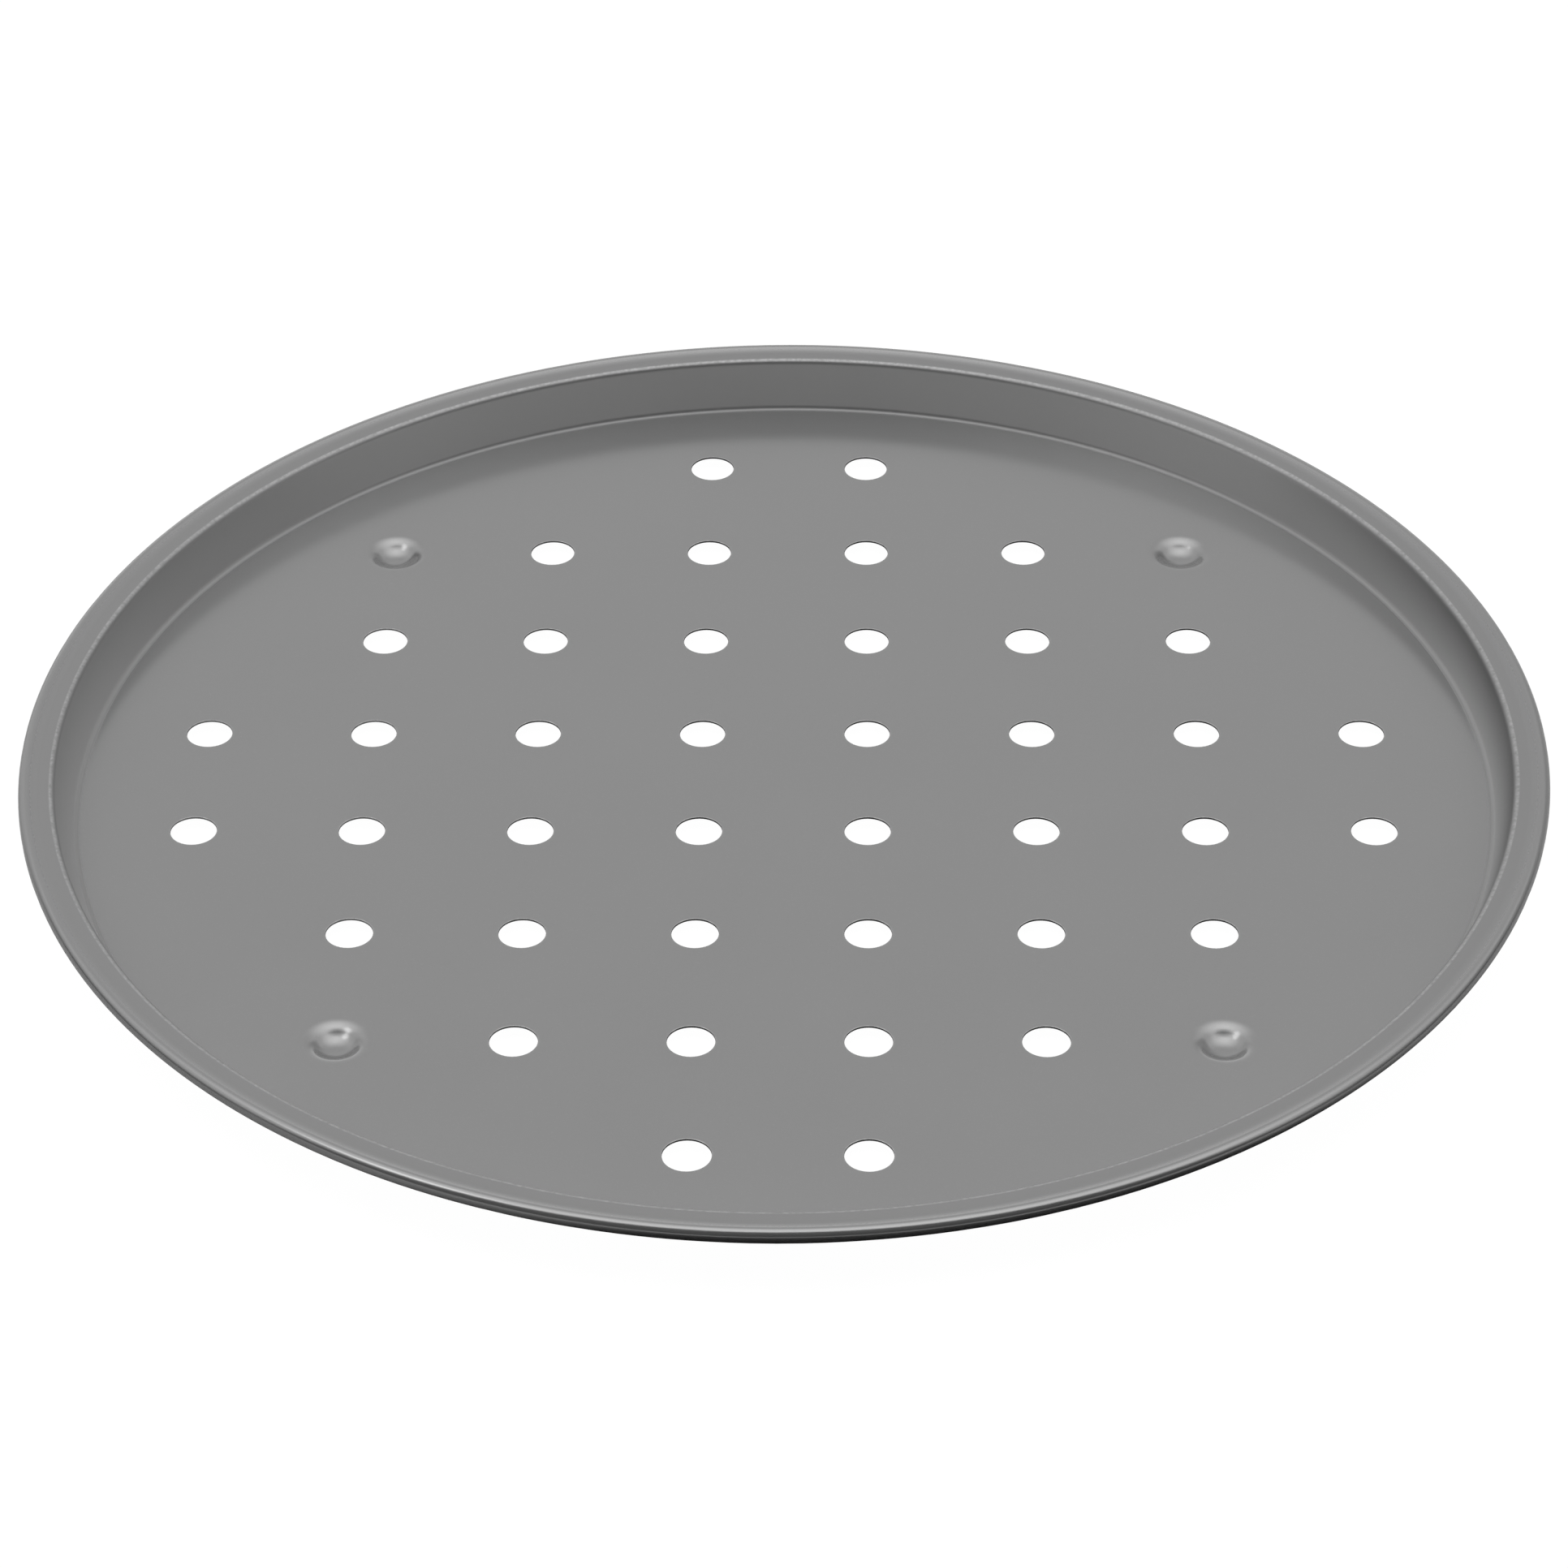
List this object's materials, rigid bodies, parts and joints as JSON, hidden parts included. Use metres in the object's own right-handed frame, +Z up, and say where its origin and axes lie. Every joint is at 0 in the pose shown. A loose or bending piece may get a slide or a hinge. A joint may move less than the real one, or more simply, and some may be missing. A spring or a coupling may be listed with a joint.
{
  "type": "perforated pizza pan",
  "caption": "Round shallow baking pan of dark grey coated steel sheet with a perforated floor, a low leaning wall, a rim curled round a wire and small pressed feet.",
  "frame": {"origin": "on the pan's axis, in the plane that the undersides of the four feet stand on", "axes": "+Z up out of the dish, X and Y along the rows of the hole grid, +Y away from the viewer of the picture"},
  "size_m": [0.33, 0.33, 0.0148],
  "materials": {
    "coated_sheet": "satin dark grey non-stick coating on steel sheet",
    "wire_steel": "drawn steel wire"
  },
  "bodies": {
    "root": {"pan_sheet": "coated_sheet", "rim_wire": "wire_steel"}
  },
  "joints": []
}
